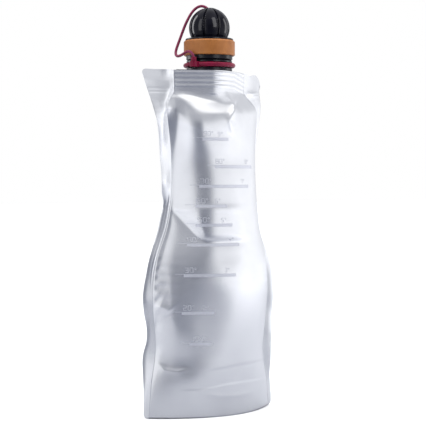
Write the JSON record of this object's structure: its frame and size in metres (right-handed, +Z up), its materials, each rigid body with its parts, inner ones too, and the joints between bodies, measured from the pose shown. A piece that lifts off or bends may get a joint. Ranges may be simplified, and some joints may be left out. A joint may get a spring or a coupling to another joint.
{
  "type": "folding water bottle",
  "caption": "Soft-sided stand-up film bottle with a waisted outline, bottom gusset, welded threaded spout, ball-grip screw cap and a tether cord.",
  "frame": {"origin": "on the standing surface, on the axis of the neck", "axes": "+Z up along the neck, X across the pouch, -Y the printed front"},
  "size_m": [0.125, 0.066, 0.3168],
  "materials": {
    "film": "metallised satin laminate",
    "spout_plastic": "satin",
    "tether_plastic": "satin",
    "cord": "braided",
    "cap_plastic": "gloss",
    "grip_band": "matt, wood coloured",
    "seal": "matt"
  },
  "bodies": {
    "pouch": {"front_panel": "film", "back_panel": "film", "bottom_gusset": "film", "spout": "spout_plastic"},
    "leash": {"tether_ring": "tether_plastic", "cord_crimp": "tether_plastic", "tether_cord": "cord"},
    "cap": {"cap_base": "cap_plastic", "cap_band": "grip_band", "knob": "cap_plastic", "seal": "seal", "cord_knot": "cord"}
  },
  "joints": [
    {"name": "cap_turn", "type": "hinge", "parent": "pouch", "child": "leash", "pos_m": [0, 0, 0.2695], "axis": [0, 0, 1], "range_deg": [0, 2160]},
    {"name": "cap_lift", "type": "slide", "parent": "leash", "child": "cap", "axis": [0, 0, 1], "range_m": [0, 0.027], "deforming": ["tether_cord"]}
  ],
  "couplings": [
    {"joint": "cap_lift", "follows": "cap_turn", "m_per_rad": 0.00071619}
  ]
}
